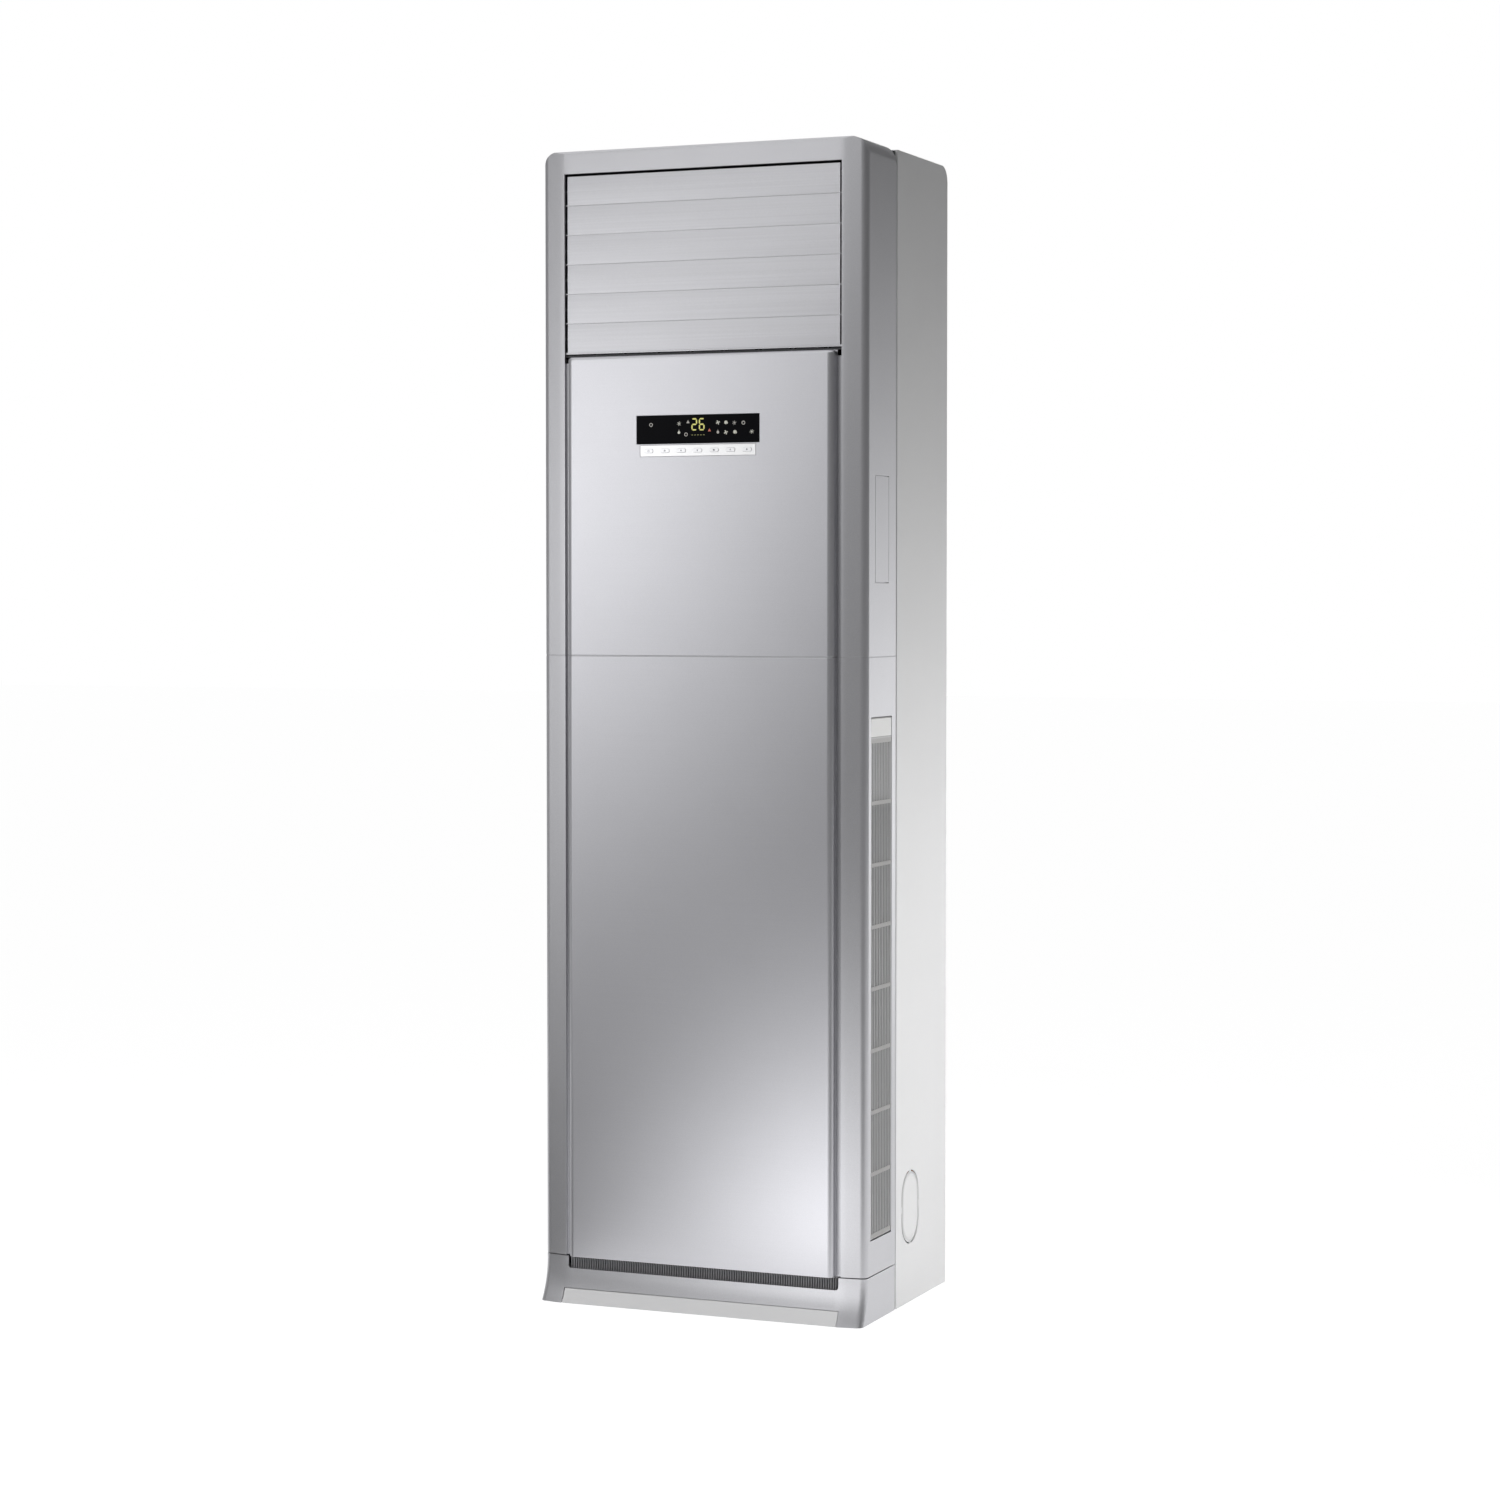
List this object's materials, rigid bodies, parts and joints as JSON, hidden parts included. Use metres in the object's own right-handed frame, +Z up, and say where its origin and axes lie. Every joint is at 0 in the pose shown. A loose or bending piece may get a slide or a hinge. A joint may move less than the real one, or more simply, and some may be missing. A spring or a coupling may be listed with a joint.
{
  "type": "floor standing air conditioner",
  "caption": "Tall silver floor standing split air conditioner indoor unit with louvred outlet at the top, display, side air intakes and white rear cabinet.",
  "frame": {"origin": "on the floor, in the middle of the footprint", "axes": "+Z up, the front faces -Y, +X to the right seen from the front"},
  "size_m": [0.534, 0.3846, 1.775],
  "materials": {
    "silver_frame": "silver metallic paint, satin",
    "silver_panel": "silver metallic paint, satin",
    "silver_louver": "silver paint with fine ribs",
    "bright_strip": "bright silver",
    "button_silver": "silver",
    "display_black": "clear black",
    "circuit_board": "green laminate",
    "duct_black": "dark moulded",
    "vane_grey": "moulded",
    "motor_grey": "moulded and plated",
    "grille_grey": "moulded",
    "filter_white": "moulded",
    "white_steel": "powder coat",
    "plain_steel": "galvanised",
    "foam_white": "insulating foam board",
    "fin_aluminium": "mill",
    "copper": "bright copper",
    "fan_plastic": "moulded"
  },
  "bodies": {
    "cabinet": {"upper_front_shell": "silver_frame", "lower_front_shell": "silver_frame", "base_plinth": "silver_frame", "left_hand_hold_cover": "silver_frame", "right_hand_hold_cover": "silver_frame", "upper_front_panel": "silver_panel", "lower_front_panel": "silver_panel", "display_window": "display_black", "button_bezel": "bright_strip", "display_board": "circuit_board", "outlet_frame": "duct_black", "louver_motor": "motor_grey", "vane_motor": "motor_grey", "fan_motor": "motor_grey", "right_side_panel": "white_steel", "left_side_panel": "white_steel", "rear_panel": "white_steel", "top_cover": "white_steel", "base_pan": "white_steel", "cabinet_screws": "plain_steel", "volute_casing": "plain_steel", "inlet_ring": "plain_steel", "evaporator_fins": "fin_aluminium", "evaporator_bends": "copper", "drain_pan": "foam_white", "drain_pipe": "filter_white", "gas_pipe": "copper", "liquid_pipe": "copper", "fan_deck": "plain_steel", "air_bulkhead": "foam_white", "control_box": "plain_steel", "control_box_cover": "plain_steel"},
    "louver_1": {"louver_1": "silver_louver"},
    "louver_2": {"louver_2": "silver_louver"},
    "louver_3": {"louver_3": "silver_louver"},
    "louver_4": {"louver_4": "silver_louver"},
    "louver_5": {"louver_5": "silver_louver"},
    "louver_6": {"louver_6": "silver_louver"},
    "louver_link": {"louver_link": "duct_black"},
    "vane_1": {"vane_1": "vane_grey"},
    "button_1": {"button_1": "button_silver"},
    "vane_2": {"vane_2": "vane_grey"},
    "button_2": {"button_2": "button_silver"},
    "vane_3": {"vane_3": "vane_grey"},
    "button_3": {"button_3": "button_silver"},
    "vane_4": {"vane_4": "vane_grey"},
    "button_4": {"button_4": "button_silver"},
    "vane_5": {"vane_5": "vane_grey"},
    "button_5": {"button_5": "button_silver"},
    "vane_6": {"vane_6": "vane_grey"},
    "button_6": {"button_6": "button_silver"},
    "vane_7": {"vane_7": "vane_grey"},
    "button_7": {"button_7": "button_silver"},
    "vane_link": {"vane_link": "duct_black"},
    "fan": {"fan_wheel": "fan_plastic", "fan_shaft": "plain_steel"},
    "right_intake": {"right_intake_grille": "grille_grey", "right_air_filter": "filter_white"},
    "left_intake": {"left_intake_grille": "grille_grey", "left_air_filter": "filter_white"}
  },
  "joints": [
    {"name": "louver_1_tilt", "type": "hinge", "parent": "cabinet", "child": "louver_1", "pos_m": [0, -0.16, 1.71425], "axis": [-1, 0, 0], "range_deg": [0, 70]},
    {"name": "louver_2_tilt", "type": "hinge", "parent": "cabinet", "child": "louver_2", "pos_m": [0, -0.16, 1.66915], "axis": [-1, 0, 0], "range_deg": [0, 70]},
    {"name": "louver_3_tilt", "type": "hinge", "parent": "cabinet", "child": "louver_3", "pos_m": [0, -0.16, 1.62405], "axis": [-1, 0, 0], "range_deg": [0, 70]},
    {"name": "louver_4_tilt", "type": "hinge", "parent": "cabinet", "child": "louver_4", "pos_m": [0, -0.16, 1.57895], "axis": [-1, 0, 0], "range_deg": [0, 70]},
    {"name": "louver_5_tilt", "type": "hinge", "parent": "cabinet", "child": "louver_5", "pos_m": [0, -0.16, 1.53385], "axis": [-1, 0, 0], "range_deg": [0, 70]},
    {"name": "louver_6_tilt", "type": "hinge", "parent": "cabinet", "child": "louver_6", "pos_m": [0, -0.16, 1.48875], "axis": [-1, 0, 0], "range_deg": [0, 70]},
    {"name": "louver_link_pivot", "type": "hinge", "parent": "louver_1", "child": "louver_link", "pos_m": [0.183, -0.13542, 1.73146], "axis": [-1, 0, 0], "range_deg": [-70, 0]},
    {"name": "vane_1_swing", "type": "hinge", "parent": "cabinet", "child": "vane_1", "pos_m": [-0.171, -0.0905, 1.463], "axis": [0, 0, 1], "range_deg": [-35, 35]},
    {"name": "vane_2_swing", "type": "hinge", "parent": "cabinet", "child": "vane_2", "pos_m": [-0.114, -0.0905, 1.463], "axis": [0, 0, 1], "range_deg": [-35, 35]},
    {"name": "vane_3_swing", "type": "hinge", "parent": "cabinet", "child": "vane_3", "pos_m": [-0.057, -0.0905, 1.463], "axis": [0, 0, 1], "range_deg": [-35, 35]},
    {"name": "vane_4_swing", "type": "hinge", "parent": "cabinet", "child": "vane_4", "pos_m": [0, -0.0905, 1.463], "axis": [0, 0, 1], "range_deg": [-35, 35]},
    {"name": "vane_5_swing", "type": "hinge", "parent": "cabinet", "child": "vane_5", "pos_m": [0.057, -0.0905, 1.463], "axis": [0, 0, 1], "range_deg": [-35, 35]},
    {"name": "vane_6_swing", "type": "hinge", "parent": "cabinet", "child": "vane_6", "pos_m": [0.114, -0.0905, 1.463], "axis": [0, 0, 1], "range_deg": [-35, 35]},
    {"name": "vane_7_swing", "type": "hinge", "parent": "cabinet", "child": "vane_7", "pos_m": [0.171, -0.0905, 1.463], "axis": [0, 0, 1], "range_deg": [-35, 35]},
    {"name": "vane_link_pivot", "type": "hinge", "parent": "vane_4", "child": "vane_link", "pos_m": [0, -0.0725, 1.463], "axis": [0, 0, 1], "range_deg": [-35, 35]},
    {"name": "fan_spin", "type": "hinge", "parent": "cabinet", "child": "fan", "pos_m": [-0.02, 0.0275, 0.48], "axis": [0, 1, 0], "continuous": true},
    {"name": "button_1_press", "type": "slide", "parent": "cabinet", "child": "button_1", "axis": [0, 1, 0], "range_m": [0, 0.0012], "stiffness_N_per_m": 300, "springref_m": -0.001},
    {"name": "button_2_press", "type": "slide", "parent": "cabinet", "child": "button_2", "axis": [0, 1, 0], "range_m": [0, 0.0012], "stiffness_N_per_m": 300, "springref_m": -0.001},
    {"name": "button_3_press", "type": "slide", "parent": "cabinet", "child": "button_3", "axis": [0, 1, 0], "range_m": [0, 0.0012], "stiffness_N_per_m": 300, "springref_m": -0.001},
    {"name": "button_4_press", "type": "slide", "parent": "cabinet", "child": "button_4", "axis": [0, 1, 0], "range_m": [0, 0.0012], "stiffness_N_per_m": 300, "springref_m": -0.001},
    {"name": "button_5_press", "type": "slide", "parent": "cabinet", "child": "button_5", "axis": [0, 1, 0], "range_m": [0, 0.0012], "stiffness_N_per_m": 300, "springref_m": -0.001},
    {"name": "button_6_press", "type": "slide", "parent": "cabinet", "child": "button_6", "axis": [0, 1, 0], "range_m": [0, 0.0012], "stiffness_N_per_m": 300, "springref_m": -0.001},
    {"name": "button_7_press", "type": "slide", "parent": "cabinet", "child": "button_7", "axis": [0, 1, 0], "range_m": [0, 0.0012], "stiffness_N_per_m": 300, "springref_m": -0.001},
    {"name": "right_intake_tilt", "type": "hinge", "parent": "cabinet", "child": "right_intake", "pos_m": [0.264, -0.104, 0.1275], "axis": [0, 1, 0], "range_deg": [0, 25]},
    {"name": "left_intake_tilt", "type": "hinge", "parent": "cabinet", "child": "left_intake", "pos_m": [-0.264, -0.104, 0.1275], "axis": [0, -1, 0], "range_deg": [0, 25]}
  ],
  "couplings": [
    {"joint": "louver_2_tilt", "follows": "louver_1_tilt", "ratio": 1},
    {"joint": "louver_3_tilt", "follows": "louver_1_tilt", "ratio": 1},
    {"joint": "louver_4_tilt", "follows": "louver_1_tilt", "ratio": 1},
    {"joint": "louver_5_tilt", "follows": "louver_1_tilt", "ratio": 1},
    {"joint": "louver_6_tilt", "follows": "louver_1_tilt", "ratio": 1},
    {"joint": "louver_link_pivot", "follows": "louver_1_tilt", "ratio": -1},
    {"joint": "vane_1_swing", "follows": "vane_4_swing", "ratio": 1},
    {"joint": "vane_2_swing", "follows": "vane_4_swing", "ratio": 1},
    {"joint": "vane_3_swing", "follows": "vane_4_swing", "ratio": 1},
    {"joint": "vane_5_swing", "follows": "vane_4_swing", "ratio": 1},
    {"joint": "vane_6_swing", "follows": "vane_4_swing", "ratio": 1},
    {"joint": "vane_7_swing", "follows": "vane_4_swing", "ratio": 1},
    {"joint": "vane_link_pivot", "follows": "vane_4_swing", "ratio": -1}
  ]
}
